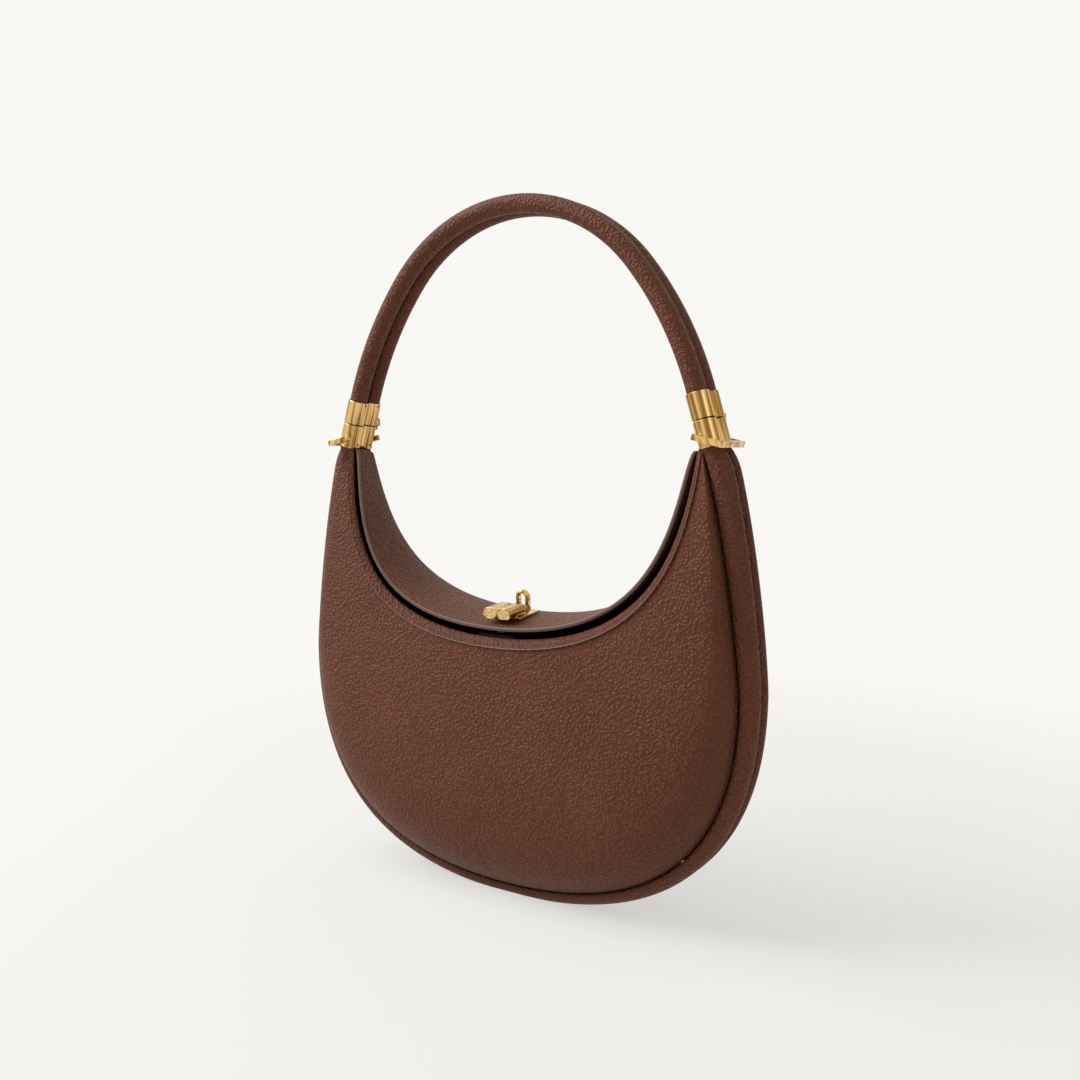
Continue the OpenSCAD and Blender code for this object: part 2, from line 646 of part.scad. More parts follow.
// Handle path: straight in each end, then a long side curve, then the top curve
path_x = end_half_w - end_l * sin(lean);
path_z = end_l * cos(lean);
side_centre = [path_x - side_r * cos(lean), path_z - side_r * sin(lean)];
top_start = 90 - top_half_angle;
top_r = side_r + side_centre[0] / cos(top_start);
top_centre_z = side_centre[1] + (side_r - top_r) * sin(top_start);
plug_l = socket_d - fit;
core_r = tube_r - tube_t;

// Stops along the handle from right to left: a point and the angle of its outward direction
function on_arc(centre, r, a) = [centre + r * [cos(a), sin(a)], a];
function flipped(stop) = [[-stop[0][0], stop[0][1]], 180 - stop[1]];
side_stops = [for (i = [0 : side_n]) on_arc(side_centre, side_r, mix(lean, top_start, i / side_n))];
right_stops = concat([[side_stops[0][0] - up * plug_l, lean]], side_stops);
top_stops = [for (i = [1 : top_n - 1])
    on_arc([0, top_centre_z], top_r, mix(top_start, 180 - top_start, i / top_n))];
handle_stops = concat(right_stops, top_stops,
    [for (i = [len(right_stops) - 1 : -1 : 0]) flipped(right_stops[i])]);
function tube_rings(at, r) = [for (stop = handle_stops) [for (i = [0 : tube_sides - 1])
    let (a = 360 * i / tube_sides, q = stop[0] + r * cos(a) * [cos(stop[1]), sin(stop[1])])
    [q[0], at + r * sin(a), q[1]]]];

// Hollow sweep between two rows of rings
module pipe(outer, inner) {
    rows = len(outer);
    cols = len(outer[0]);
    count = rows * cols;
    function at(r, c) = r * cols + c % cols;
    skin = [for (r = [0 : rows - 2], c = [0 : cols - 1]) each [
        [at(r, c), at(r + 1, c), at(r + 1, c + 1)],
        [at(r, c), at(r + 1, c + 1), at(r, c + 1)]]];
    bore = [for (f = skin) [f[2] + count, f[1] + count, f[0] + count]];
    last = rows - 1;
    ends = [for (c = [0 : cols - 1]) each [
        [at(0, c), at(0, c + 1), at(0, c + 1) + count],
        [at(0, c), at(0, c + 1) + count, at(0, c) + count],
        [at(last, c + 1), at(last, c), at(last, c) + count],
        [at(last, c + 1), at(last, c) + count, at(last, c + 1) + count]]];
    polyhedron([for (ring = concat(outer, inner)) each ring], concat(skin, bore, ends));
}
module handle_tube(at) color(leather) raised()
    pipe(tube_rings(at, tube_r), tube_rings(at, core_r));
module handle_core(at) color(suede) raised() loft(tube_rings(at, core_r - fit));
module front_handle_tube() handle_tube(-lobe_y);
module back_handle_tube() handle_tube(lobe_y);
module front_handle_core() handle_core(-lobe_y);
module back_handle_core() handle_core(lobe_y);
module handle_seam() color(leather) raised() {
    translate([0, 0, top_centre_z]) rotate([90, 0, 0]) rotate([0, 0, top_start])
        rotate_extrude(angle = 2 * top_half_angle) translate([top_r, 0]) seam_profile();
    for (end = [-1, 1]) mirrored(end)
        translate([side_centre[0], 0, side_centre[1]]) rotate([90, 0, 0]) rotate([0, 0, lean])
            rotate_extrude(angle = top_start - lean) translate([side_r, 0]) seam_profile();
}
module seam_profile() square([tube_r, 2 * handle_seam_half_t], center = true);

front_panel();
back_panel();
front_gusset_roll();
back_gusset_roll();
gusset_seam();
front_lining();
back_lining();
gusset_lining();
front_facing();
closure_tab();
tab_magnet();
flap_root();
flap();
flap_lining();
flap_magnet();
clasp_plate();
clasp_backing();
clasp_rivets();
clasp_arch();
latch_pin();
latch();
latch_end_caps();
left_neck_core();
right_neck_core();
left_body_ferrule();
right_body_ferrule();
body_ferrule_screws();
left_ring_pin();
right_ring_pin();
left_strap_ring();
right_strap_ring();
left_hinge_pin();
right_hinge_pin();
left_handle_ferrule();
right_handle_ferrule();
handle_ferrule_screws();
front_handle_tube();
back_handle_tube();
front_handle_core();
back_handle_core();
handle_seam();
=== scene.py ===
import math

import bmesh
import bpy
from mathutils import Matrix, Vector


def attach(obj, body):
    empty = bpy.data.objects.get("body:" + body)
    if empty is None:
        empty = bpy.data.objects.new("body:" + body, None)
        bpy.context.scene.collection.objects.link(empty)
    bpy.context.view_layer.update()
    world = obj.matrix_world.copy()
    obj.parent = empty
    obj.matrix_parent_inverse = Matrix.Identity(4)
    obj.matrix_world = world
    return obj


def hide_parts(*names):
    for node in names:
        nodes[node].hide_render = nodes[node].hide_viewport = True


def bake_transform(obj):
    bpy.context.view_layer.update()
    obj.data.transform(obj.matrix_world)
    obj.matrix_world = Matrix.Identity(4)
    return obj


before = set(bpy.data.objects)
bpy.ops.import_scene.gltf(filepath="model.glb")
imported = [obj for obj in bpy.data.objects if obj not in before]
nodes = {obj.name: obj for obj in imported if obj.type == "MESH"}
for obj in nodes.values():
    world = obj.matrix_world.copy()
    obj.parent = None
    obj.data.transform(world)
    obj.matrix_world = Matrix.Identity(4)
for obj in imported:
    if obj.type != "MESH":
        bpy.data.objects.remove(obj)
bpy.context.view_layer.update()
mm = 0.001

# outlines of the bag in millimetres, measured from the level of the handle ends
bagShape = {
    "groundToEnds": 256.9,
    "endHalfWidth": 122.3,
    "bellyHalfWidth": 141.2,
    "bellyDrop": 128.4,
    "panelDrop": 251.4,
    "mouthDrop": 110.6,
    "backRise": 10.3,
    "mouthHalfDepth": 26.0,
    "gussetHalfDepth": 12.0,
    "endHalfDepth": 10.4,
    "panelSwell": 20.0,
    "panelThickness": 3.2,
    "liningThickness": 0.8,
    "rollOut": 7.5,
    "rollEndOut": 11.5,
    "rollShoulder": 3.2,
    "seamOut": 3.0,
    "clearance": 0.3,
    "lean": math.radians(16.5),
    "lobeRadius": 6.2,
    "lobeY": 5.7,
}
# how the outlines bend, as shares of those sizes and as powers
outlineShares = {
    "belly": 0.45,
    "tip": 0.52,
    "tipWidth": 0.14,
    "grooveTop": (0.432, 0.954),
    "grooveLow": (0.373, 0.9),
    "mouth": (-0.032, 0.406, 0.908),
    "mouthStart": 0.002,
    "swell": (1.6, 9.0),
    "swellWidth": 0.8,
    "slopeStep": 0.01,
    "shoulder": 0.04,
    "shoulderPower": 2.2,
    "horn": 0.3,
    "hornPower": 1.3,
}
mouthEnds = 1 - outlineShares["mouthStart"]


def mix(a, b, f):
    return a + (b - a) * f


def ease(s):
    return math.sin(math.pi / 2 * s)


def bezier(p, f):
    g = 1 - f
    return p[0] * g ** 3 + p[1] * (3 * g * g * f) + p[2] * (3 * g * f * f) + p[3] * f ** 3


def turns(sides):
    return [math.tau * i / sides for i in range(sides)]


up = Vector((-math.sin(bagShape["lean"]), math.cos(bagShape["lean"])))
outward = Vector((math.cos(bagShape["lean"]), math.sin(bagShape["lean"])))
endPoint = Vector((bagShape["endHalfWidth"], 0))
bodyTip = endPoint - up * 2 * bagShape["clearance"]
outerTip = bodyTip - outward * bagShape["lobeRadius"] * outlineShares["tip"]
innerTip = outerTip - outward * bagShape["lobeRadius"] * outlineShares["tipWidth"]
bellyPoint = Vector((bagShape["bellyHalfWidth"], -bagShape["bellyDrop"]))
grooveTop = [
    outerTip,
    outerTip - up * bagShape["bellyDrop"] * outlineShares["grooveTop"][0],
    Vector((bagShape["bellyHalfWidth"], -bagShape["bellyDrop"] * outlineShares["grooveTop"][1])),
    bellyPoint,
]
lowLevel = mix(bagShape["bellyDrop"], bagShape["panelDrop"], outlineShares["grooveLow"][0])
grooveLow = [
    bellyPoint,
    Vector((bagShape["bellyHalfWidth"], -lowLevel)),
    Vector((bagShape["bellyHalfWidth"] * outlineShares["grooveLow"][1], -bagShape["panelDrop"])),
    Vector((0, -bagShape["panelDrop"])),
]


def grooveHalf(s):
    split = outlineShares["belly"]
    if s < split:
        return bezier(grooveTop, s / split)
    return bezier(grooveLow, (s - split) / (1 - split))


def mouthHalf(s, drop):
    a, b, c = outlineShares["mouth"]
    return bezier([innerTip, Vector((innerTip.x * (1 + a), -drop * b)),
                   Vector((innerTip.x * c, -drop)), Vector((0, -drop))], s)


# a station t runs from -1 at the left end over 0 in the middle to 1 at the right end
def stations(n, start=-1.0, end=1.0):
    return [mix(start, end, i / n) for i in range(n + 1)]


# grows from 0 at both ends to 1 in the middle
def inward(t):
    return ease(1 - abs(t))


def sided(t, p):
    return Vector((-p.x if t < 0 else p.x, p.y))


def groove(t):
    return sided(t, grooveHalf(1 - abs(t)))


def mouth(t, drop=bagShape["mouthDrop"]):
    return sided(t, mouthHalf(1 - abs(t), drop))


def normalOf(curve, t):
    step = outlineShares["slopeStep"]
    d = curve(min(1, t + step)) - curve(max(-1, t - step))
    return Vector((d.y, -d.x)).normalized()


def grooveY(t):
    return mix(bagShape["endHalfDepth"], bagShape["gussetHalfDepth"], inward(t))


def mouthY(t):
    tip = bagShape["endHalfDepth"] - bagShape["panelThickness"] / 2
    return mix(tip, bagShape["mouthHalfDepth"], inward(t))


def panelY(t, u, drop):
    width = (groove(t) - mouth(t, drop)).length
    fullWidth = (groove(0) - mouth(0, drop)).length
    swell = bagShape["panelSwell"] * (width / fullWidth) ** outlineShares["swellWidth"]
    a, b = outlineShares["swell"]
    return mix(mouthY(t), grooveY(t), u) + swell * (1 - (1 - u) ** a) * (1 - u ** b)


# a point of the outlines' plane and its depth, both in millimetres, as a point of the scene
def place(p, y):
    z = max(p.y, -bagShape["groundToEnds"]) + bagShape["groundToEnds"]
    return Vector((p.x * mm, y * mm, z * mm))


def linkMesh(name, verts, faces):
    mesh = bpy.data.meshes.new(name)
    mesh.from_pydata([tuple(v) for v in verts], [], faces)
    mesh.update()
    obj = bpy.data.objects.new(name, mesh)
    bpy.context.scene.collection.objects.link(obj)
    return obj


def pickOnly(obj):
    bpy.ops.object.select_all(action="DESELECT")
    obj.select_set(True)
    bpy.context.view_layer.objects.active = obj


def finishMesh(obj, smoothAngle=50):
    bm = bmesh.new()
    bm.from_mesh(obj.data)
    bmesh.ops.remove_doubles(bm, verts=bm.verts, dist=1e-6)
    bmesh.ops.recalc_face_normals(bm, faces=bm.faces)
    bm.to_mesh(obj.data)
    bm.free()
    pickOnly(obj)
    bpy.ops.object.shade_smooth_by_angle(angle=math.radians(smoothAngle))
    obj.select_set(False)
    return obj


# joins rings of points into a closed tube with a flat face at each end
def addTube(verts, faces, rings):
    base, count = len(verts), len(rings[0])
    last = base + (len(rings) - 1) * count
    verts.extend(p for ring in rings for p in ring)
    for a in range(base, last, count):
        for c in range(count):
            d = (c + 1) % count
            faces.append((a + c, a + count + c, a + count + d, a + d))
    faces.append(tuple(base + c for c in range(count)))
    faces.append(tuple(last + c for c in reversed(range(count))))


def loft(name, rings, smoothAngle=50, fields=None):
    verts, faces = [], []
    addTube(verts, faces, rings)
    obj = linkMesh(name, verts, faces)
    count = len(rings[0])
    for field, values in (fields or {}).items():
        layer = obj.data.attributes.new(field, "FLOAT", "POINT")
        for r in range(len(rings)):
            for c in range(count):
                value = values[r][c] if isinstance(values[r], list) else values[r]
                layer.data[r * count + c].value = value
    return finishMesh(obj, smoothAngle)


# distance along an outline in metres, and a weight that grows towards the handle ends
def outlineFields(curve, ts):
    along = [0.0]
    for a, b in zip(ts, ts[1:]):
        along.append(along[-1] + (curve(b) - curve(a)).length * mm)
    near = [max(0.0, 1 - (1 - abs(t)) / outlineShares["horn"]) for t in ts]
    return {"along": along, "horn": [k ** outlineShares["hornPower"] for k in near]}


# materials: each input of a node gets a value, or a link where another node's output is given
def feed(tree, node, inputs):
    for key, value in inputs.items():
        if isinstance(value, bpy.types.NodeSocket):
            tree.links.new(value, node.inputs[key])
        else:
            node.inputs[key].default_value = value
    return node


def addNode(tree, kind, inputs=None, **settings):
    node = tree.nodes.new(kind)
    for key, value in settings.items():
        setattr(node, key, value)
    return feed(tree, node, inputs or {})


def newMaterial(name):
    mat = bpy.data.materials.new(name)
    mat.use_nodes = True
    tree = mat.node_tree
    return mat, tree, tree.nodes["Principled BSDF"]


def calculate(tree, operation, *values):
    node = addNode(tree, "ShaderNodeMath", dict(enumerate(values)), operation=operation)
    return node.outputs[0]


def moveVector(tree, operation, *values):
    node = addNode(tree, "ShaderNodeVectorMath", dict(enumerate(values)), operation=operation)
    return node.outputs[0]


def fieldOf(tree, name, output="Fac"):
    return addNode(tree, "ShaderNodeAttribute", attribute_name=name).outputs[output]


def objectPoint(tree):
    return addNode(tree, "ShaderNodeTexCoord").outputs["Object"]


def noiseAt(tree, point, scale, detail, output="Fac"):
    inputs = {"Vector": point, "Scale": scale, "Detail": detail}
    return addNode(tree, "ShaderNodeTexNoise", inputs).outputs[output]


def softRamp(tree, value, low, high, toLow=0.0, toHigh=1.0):
    inputs = {"Value": value, "From Min": low, "From Max": high, "To Min": toLow,
              "To Max": toHigh}
    node = addNode(tree, "ShaderNodeMapRange", inputs, interpolation_type="SMOOTHSTEP")
    return node.outputs[0]


def mixColors(tree, share, first, second):
    inputs = {0: share, 6: first, 7: second}
    return addNode(tree, "ShaderNodeMix", inputs, data_type="RGBA").outputs[2]


def bumpOf(tree, height, depth):
    return addNode(tree, "ShaderNodeBump", {"Height": height, "Distance": depth}).outputs[0]


leatherLook = {
    "base": (0.158, 0.045, 0.0155, 1),
    "deep": (0.070, 0.018, 0.0065, 1),
    # the colour of the painted shade in the grooves and seams
    "groove": (0.010, 0.004, 0.003, 1),
    "cell": 580.0,
    "cellSoftness": 0.35,
    "dome": (0.05, 0.75),
    "driftScale": 160.0,
    "driftReach": 0.0022,
    "fineScale": 2600.0,
    "fineShare": 0.14,
    "grainDepth": 0.00055,
    "creasePitch": 420.0,
    "creaseBend": 45.0,
    "creaseDepth": 0.9,
    "broadScale": 26.0,
    "broadShare": 0.6,
    "domeShare": 0.6,
    "grooveShade": 0.75,
    "roughBetween": 0.56,
    "roughOnTop": 0.39,
    "specular": 0.23,
}


def pebbledLeather(name, look):
    mat, tree, shader = newMaterial(name)
    point = objectPoint(tree)
    # pebbles: soft cells, each drawn a little out of its place, under a finer grain
    drift = noiseAt(tree, point, look["driftScale"], 2.0, "Color")
    drift = moveVector(tree, "SUBTRACT", drift, (0.5, 0.5, 0.5))
    drift = addNode(tree, "ShaderNodeVectorMath", {0: drift, "Scale": look["driftReach"]},
                    operation="SCALE").outputs[0]
    inputs = {"Vector": moveVector(tree, "ADD", point, drift), "Scale": look["cell"],
              "Smoothness": look["cellSoftness"]}
    cells = addNode(tree, "ShaderNodeTexVoronoi", inputs, feature="SMOOTH_F1")
    dome = softRamp(tree, cells.outputs["Distance"], *look["dome"], 1.0, 0.0)
    fine = noiseAt(tree, point, look["fineScale"], 3.0)
    height = calculate(tree, "MULTIPLY_ADD", fine, look["fineShare"], dome)
    # creases across the horns, where the leather is bent tighter
    along = calculate(tree, "MULTIPLY", fieldOf(tree, "along"), look["creasePitch"])
    stretch = addNode(tree, "ShaderNodeCombineXYZ", {0: along}).outputs[0]
    bent = moveVector(tree, "MULTIPLY_ADD", point, (look["creaseBend"],) * 3, stretch)
    folds = calculate(tree, "MULTIPLY", noiseAt(tree, bent, 1.0, 3.0), fieldOf(tree, "horn"))
    height = calculate(tree, "MULTIPLY_ADD", folds, look["creaseDepth"], height)
    # the tint changes over broad patches and from the pebbles to the lines between them
    broad = noiseAt(tree, point, look["broadScale"], 3.0)
    share = calculate(tree, "MULTIPLY", dome, look["domeShare"])
    share = calculate(tree, "MULTIPLY_ADD", broad, look["broadShare"], share)
    tint = mixColors(tree, share, look["deep"], look["base"])
    # painted shade: the grooves and seams are darker than the faces beside them, by each piece's
    # shade attribute
    dark = calculate(tree, "MULTIPLY", fieldOf(tree, "shade"), look["grooveShade"])
    rough = addNode(tree, "ShaderNodeMapRange", {"Value": dome, "To Min": look["roughBetween"],
                                                 "To Max": look["roughOnTop"]})
    feed(tree, shader, {"Base Color": mixColors(tree, dark, tint, look["groove"]),
                        "Normal": bumpOf(tree, height, look["grainDepth"]),
                        "Roughness": rough.outputs[0],
                        "Specular IOR Level": look["specular"]})
    return mat


grainLook = {"detail": 5.0, "darkShare": 0.7}


def plainGrain(name, color, scale, depth, roughness, specular=0.5, metallic=0.0):
    mat, tree, shader = newMaterial(name)
    noise = noiseAt(tree, objectPoint(tree), scale, grainLook["detail"])
    dark = tuple(c * grainLook["darkShare"] for c in color[:3]) + (1,)
    feed(tree, shader, {"Base Color": mixColors(tree, noise, dark, color),
                        "Normal": bumpOf(tree, noise, depth), "Roughness": roughness,
                        "Specular IOR Level": specular, "Metallic": metallic})
    return mat


# the dark and light colours are painted reflections in the gold's base colour
goldLook = {"dark": (0.29, 0.14, 0.03, 1), "light": (0.80, 0.53, 0.21, 1), "roughness": 0.13,
            "bands": (0.34, 0.64), "detail": 1.6, "across": 380.0, "along": 18.0}


# polished metal with painted reflections: soft dark and light streaks in the base colour along each
# piece, laid out by a per-point attribute written for each piece
def reflectionStreakedMetal(name, look):
    mat, tree, shader = newMaterial(name)
    noise = noiseAt(tree, fieldOf(tree, "reflectionStreak", "Vector"), 1.0, look["detail"])
    bands = softRamp(tree, noise, *look["bands"])
    feed(tree, shader, {"Base Color": mixColors(tree, bands, look["dark"], look["light"]),
                        "Metallic": 1.0, "Roughness": look["roughness"]})
    return mat


leatherMat = pebbledLeather("pebbledLeather", leatherLook)
edgeMat = plainGrain("paintedEdge", (0.115, 0.055, 0.036, 1), 900.0, 0.00004, 0.42)
# painted shade: the seam strips and the closure tab are near black for the shaded narrow gaps they
# sit in
seamShadeMat = plainGrain("seamShade", (0.018, 0.009, 0.006, 1), 900.0, 0.00005, 0.7, 0.08)
liningMat = plainGrain("suedeLining", (0.020, 0.011, 0.008, 1), 3000.0, 0.00008, 0.9, 0.08)
threadMat = plainGrain("thread", (0.17, 0.085, 0.055, 1), 4000.0, 0.00005, 0.6)
paddingMat = plainGrain("padding", (0.45, 0.43, 0.4, 1), 1500.0, 0.0001, 0.9)
goldMat = reflectionStreakedMetal("polishedGold", goldLook)
reliefMat = plainGrain("reliefGold", (0.80, 0.57, 0.27, 1), 900.0, 0.0009, 0.36, metallic=1.0)
steelMat = plainGrain("darkSteel", (0.10, 0.08, 0.06, 1), 1500.0, 0.00001, 0.4, metallic=1.0)
print("materials ready")


def dress(piece, body, slot, mat, *replaced):
    piece.data.materials.clear()
    piece.data.materials.append(mat)
    if body is not None:
        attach(piece, body)
    if replaced:
        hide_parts(*replaced)
    return piece


# padded panels and their linings, each laid from the mouth to the groove
panelGrid = {"along": 220, "across": 40, "tuck": 1.1, "tuckWidth": 2.6, "shadePower": 1.5,
             "liningEnds": 0.99, "liningSpread": (0.03, 0.985)}


def panelPiece(name, side, drop, depth, thickness, ends=1.0, spread=(0.0, 1.0)):
    us = [mix(spread[0], spread[1], ease(i / panelGrid["across"]))
          for i in range(panelGrid["across"] + 1)]
    ts = stations(panelGrid["along"], -ends, ends)
    outside = depth == 0
    rings, shades = [], []
    for t in ts:
        width = (groove(t) - mouth(t, drop)).length
        near = [max(0.0, 1 - (1 - u) * width / panelGrid["tuckWidth"]) for u in us]
        ring = []
        for u, k in zip(us, near):
            p = mouth(t, drop).lerp(groove(t), u)
            tuck = panelGrid["tuck"] * k * k if outside else 0
            ring.append(place(p, side * (panelY(t, u, drop) - depth - tuck)))
        for u in reversed(us):
            p = mouth(t, drop).lerp(groove(t), u)
            tuck = panelGrid["tuck"] if outside and u == 1 else 0
            ring.append(place(p, side * (panelY(t, u, drop) - depth - thickness - tuck)))
        rings.append(ring)
        # painted shade for the leather: darker towards the groove, and fully dark on the inner face
        shades.append([k ** panelGrid["shadePower"] for k in near] + [1.0] * len(us))
    fields = outlineFields(groove, ts)
    fields["shade"] = shades
    return loft(name, rings, fields=fields)


backDrop = bagShape["mouthDrop"] - bagShape["backRise"]
panelSpecs = [
    ("frontPanelLeather", -1, bagShape["mouthDrop"], "front_panel"),
    ("backPanelLeather", 1, backDrop, "back_panel"),
]
for name, side, drop, node in panelSpecs:
    piece = panelPiece(name, side, drop, 0, bagShape["panelThickness"])
    dress(piece, "bag", "leather", leatherMat, node)
liningDepth = bagShape["panelThickness"] + 2 * bagShape["clearance"]
liningSpecs = [
    ("frontPanelLining", -1, bagShape["mouthDrop"], "front_lining"),
    ("backPanelLining", 1, backDrop, "back_lining"),
]
for name, side, drop, node in liningSpecs:
    piece = panelPiece(name, side, drop, liningDepth, bagShape["liningThickness"],
                       panelGrid["liningEnds"], panelGrid["liningSpread"])
    dress(piece, "bag", "lining", liningMat, node)
print("panels ready")

# gusset: two padded rolls, the seam between them and the lining inside
rollGrid = {"along": 240, "round": 26, "start": math.radians(-32), "seamHalfWidth": 0.75,
            "shadeRise": 1.8, "shadeWidth": 0.9, "shadePower": 1.5, "weltHalfWidth": 0.6,
            "liningEnds": 0.99}


def rollBulge(t):
    near = max(0.0, 1 - (1 - abs(t)) / outlineShares["shoulder"])
    return (mix(bagShape["rollEndOut"], bagShape["rollOut"], inward(t))
            - bagShape["rollShoulder"] * near ** outlineShares["shoulderPower"])


def seamRise(t):
    return rollBulge(t) * bagShape["seamOut"] / bagShape["rollOut"]


def offGroove(t, distance, y):
    return place(groove(t) + normalOf(groove, t) * distance, y)


def rollPiece(name, side):
    gap, seam = bagShape["clearance"], rollGrid["seamHalfWidth"]
    first = rollGrid["start"]
    firstBack = (1 - math.cos(first)) / 2
    ts = stations(rollGrid["along"])
    rings, shades = [], []
    for t in ts:
        dip = seamRise(t)
        bulge = rollBulge(t) - dip / 2
        ring, shade = [], []
        for i in range(rollGrid["round"] + 1):
            a = mix(first, math.pi, i / rollGrid["round"])
            back = (1 - math.cos(a)) / 2
            if a < math.pi / 2:    # the roll tucks in under the panel's edge
                swing = (math.sin(a) - math.sin(first)) / (1 - math.sin(first))
                drop = back - firstBack * (math.pi / 2 - a) / (math.pi / 2 - first)
            else:
                swing, drop = math.sin(a), back
            rise = bulge * swing + dip * drop
            y = mix(grooveY(t), seam, back)
            ring.append(offGroove(t, gap + rise, side * y))
            # painted shade for the leather: darker where the roll tucks under the panel and towards
            # the seam
            shade.append(max(0.0, 1 - rise / rollGrid["shadeRise"],
                             1 - (y - seam) / rollGrid["shadeWidth"]) ** rollGrid["shadePower"])
        ring.append(offGroove(t, gap, side * seam))
        rings.append(ring)
        shades.append(shade + [1.0])
    fields = outlineFields(groove, ts)
    fields["shade"] = shades
    return loft(name, rings, fields=fields)


def grooveStrip(name, inner, outer, halfY, ends=1.0):
    rings = []
    for t in stations(rollGrid["along"], -ends, ends):
        h = halfY(t)
        far = outer * seamRise(t) / bagShape["seamOut"] if outer > 0 else outer
        rings.append([offGroove(t, inner, -h), offGroove(t, far, -h), offGroove(t, far, h),
                      offGroove(t, inner, h)])
    return loft(name, rings, 30)


for name, side, node in (("frontRollLeather", -1, "front_gusset_roll"),
                         ("backRollLeather", 1, "back_gusset_roll")):
    dress(rollPiece(name, side), "bag", "leather", leatherMat, node)
gussetWelt = grooveStrip("gussetWelt", bagShape["clearance"], bagShape["seamOut"],
                         lambda t: rollGrid["weltHalfWidth"])
dress(gussetWelt, "bag", "leather", seamShadeMat, "gusset_seam")
liningInset = bagShape["panelThickness"] + bagShape["liningThickness"] + 3 * bagShape["clearance"]
gussetInside = grooveStrip("gussetInside", -bagShape["clearance"] - bagShape["liningThickness"],
                           -bagShape["clearance"], lambda t: grooveY(t) - liningInset,
                           rollGrid["liningEnds"])
dress(gussetInside, "bag", "lining", liningMat, "gusset_lining")
print("gusset ready")

# stitched facing band on the front of the mouth
facingShape = {"height": 4.5, "endShare": 0.5, "lean": 3.0, "proud": 0.9, "along": 240}
facingSection = [
    (-0.10, -facingShape["proud"]), (0.0, -facingShape["proud"] - 0.15), (0.18, -0.75),
    (0.5, -0.45), (0.85, -0.2), (0.97, 0.0), (1.0, 0.35), (1.0, 1.1), (0.94, 1.4),
    (0.5, 1.4), (0.16, 1.4), (0.1, 0.0), (-0.1, -0.25),
]
facingEdgeShape = {"sides": 10, "rise": -0.06, "halfRise": 0.09, "depth": -0.66,
                   "halfDepth": 0.4}


def facingPoint(t, rise, depth):
    k = inward(t)
    height = facingShape["height"] * mix(facingShape["endShare"], 1, k)
    p = mouth(t) - normalOf(mouth, t) * (height * rise)
    return place(p, -(mouthY(t) - facingShape["lean"] * rise * k - depth))


facingStations = stations(facingShape["along"], -mouthEnds, mouthEnds)
facingRings = [[facingPoint(t, rise, depth) for rise, depth in facingSection]
               for t in facingStations]
facing = loft("mouthFacing", facingRings, fields=outlineFields(mouth, facingStations))
dress(facing, "bag", "leather", leatherMat, "front_facing")
edge = facingEdgeShape
edgeRings = [[facingPoint(t, edge["rise"] + edge["halfRise"] * math.cos(a),
                          edge["depth"] + edge["halfDepth"] * math.sin(a))
              for a in turns(edge["sides"])] for t in facingStations]
dress(loft("mouthFacingEdge", edgeRings), "bag", "leather", edgeMat)
print("facing ready")

# flap: one skin from the painted front edge back to the fold and up both sides
flapShape = {
    "lift": 10.6,
    "liftShare": 0.3,
    "setback": 2.0,
    "crown": 2.5,
    "crownPeak": 0.385,
    "thickness": 2.0,
    "endLift": 3.6,
    "endSetback": 0.6,
    "cornerFrom": 0.972,
    "cornerLength": 0.022,
    "cornerCut": 0.4,
    "skinInset": 1.2,
    "liningInset": 3.0,
    "liningGap": 0.1,
    "stitchInset": 3.2,
    "stitchSink": 0.05,
    "foldStart": 0.5,
    "foldEnd": 6.5,
    "along": 260,
    "across": 26,
}
paintedShape = {"sides": 14, "squareness": 0.7, "inset": 0.75, "halfWidth": 0.8,
                "thickness": 2.1, "middle": 0.5, "halfShare": 0.52, "sink": 0.1}
weltShape = {"sides": 10, "height": 2.65, "halfHeight": 0.75, "halfDepth": 0.9, "forward": 1.2}
flapStations = stations(flapShape["along"], -mouthEnds, mouthEnds)
liftBack = flapShape["thickness"] + bagShape["liningThickness"] + bagShape["clearance"]


def flapFrontY(t):
    return -(mouthY(t) - mix(flapShape["endSetback"], flapShape["setback"], inward(t)))


def flapSpan(t):
    return mouthY(t) - flapFrontY(t)


def flapPoint(t, v, depth):
    n = normalOf(mouth, t)
    k = inward(t)
    front = mouth(t) - n * mix(flapShape["endLift"], flapShape["lift"], k ** flapShape["liftShare"])
    back = mouth(t, backDrop) - n * liftBack
    crown = flapShape["crown"] * k * v * (1 - v * v) / flapShape["crownPeak"]
    return place(front.lerp(back, v) + n * (depth - crown), mix(flapFrontY(t), mouthY(t), v))


# rounds the back corners at both ends
def cornerCut(t):
    near = max(0.0, abs(t) - flapShape["cornerFrom"]) / flapShape["cornerLength"]
    return flapShape["cornerCut"] * min(near, 1.0) ** 2


def flapSheet(name, top, thickness, inset):
    rings = []
    for t in flapStations:
        start = inset / flapSpan(t)
        vs = [mix(start, 1 - start - cornerCut(t), i / flapShape["across"])
              for i in range(flapShape["across"] + 1)]
        rings.append([flapPoint(t, v, top) for v in vs]
                     + [flapPoint(t, v, top + thickness) for v in reversed(vs)])
    return loft(name, rings, fields=outlineFields(mouth, flapStations))


def crossFold(piece):
    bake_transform(piece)


flapSkin = flapSheet("flapLeather", 0, flapShape["thickness"], flapShape["skinInset"])
dress(flapSkin, None, "leather", leatherMat, "flap", "flap_root")
crossFold(flapSkin)
flapInside = flapSheet("flapInside", flapShape["thickness"] + flapShape["liningGap"],
                       bagShape["liningThickness"], flapShape["liningInset"])
dress(flapInside, None, "lining", liningMat, "flap_lining")
crossFold(flapInside)


def squared(value):
    return math.copysign(abs(value) ** paintedShape["squareness"], value)


